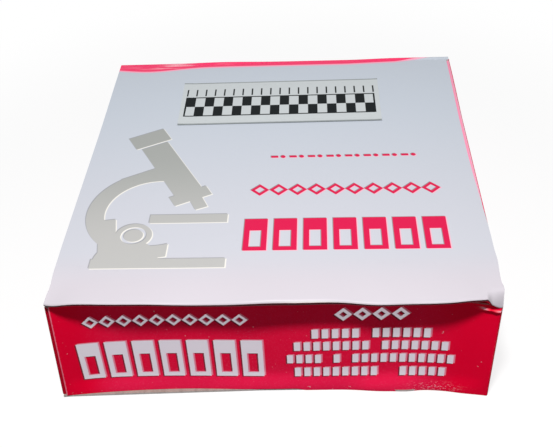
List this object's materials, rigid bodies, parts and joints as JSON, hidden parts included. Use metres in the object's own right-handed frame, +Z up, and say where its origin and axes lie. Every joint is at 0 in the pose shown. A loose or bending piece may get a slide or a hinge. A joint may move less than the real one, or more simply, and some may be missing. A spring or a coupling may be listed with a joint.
{
  "type": "box of microscope slides",
  "caption": "Low folded board carton with a hinged tuck-in lid, packed with a row of plain glass microscope slides standing on edge.",
  "frame": {"origin": "centre of the flat base, at the lowest point", "axes": "+X along the slides, -Y the front wall with the tuck-in edge of the lid, +Y the back wall with the lid's fold, +Z up"},
  "size_m": [0.0826, 0.086, 0.0275],
  "materials": {
    "red_board": "satin",
    "white_board": "satin",
    "label_paper": "satin",
    "clear_glass": "polished"
  },
  "bodies": {
    "carton": {"carton_base": "red_board", "slide_pair_01": "clear_glass", "slide_pair_02": "clear_glass", "slide_pair_03": "clear_glass", "slide_pair_04": "clear_glass", "slide_pair_05": "clear_glass", "slide_pair_06": "clear_glass", "slide_pair_07": "clear_glass", "slide_pair_08": "clear_glass", "slide_pair_09": "clear_glass", "slide_pair_10": "clear_glass", "slide_pair_11": "clear_glass", "slide_pair_12": "clear_glass", "slide_pair_13": "clear_glass", "slide_pair_14": "clear_glass", "slide_pair_15": "clear_glass", "slide_pair_16": "clear_glass", "slide_pair_17": "clear_glass", "slide_pair_18": "clear_glass", "slide_pair_19": "clear_glass", "slide_pair_20": "clear_glass", "slide_pair_21": "clear_glass", "slide_pair_22": "clear_glass", "slide_pair_23": "clear_glass", "slide_pair_24": "clear_glass", "slide_pair_25": "clear_glass", "slide_pair_26": "clear_glass", "slide_pair_27": "clear_glass", "slide_pair_28": "clear_glass", "slide_pair_29": "clear_glass", "slide_pair_30": "clear_glass", "slide_pair_31": "clear_glass", "slide_pair_32": "clear_glass", "slide_pair_33": "clear_glass", "slide_pair_34": "clear_glass", "slide_pair_35": "clear_glass", "slide_pair_36": "clear_glass"},
    "lid": {"carton_lid": "white_board", "paper_label": "label_paper"}
  },
  "joints": [
    {"name": "lid_hinge", "type": "hinge", "parent": "carton", "child": "lid", "pos_m": [0, 0.04299, 0.0274], "axis": [-1, 0, 0], "range_deg": [0, 180]}
  ]
}
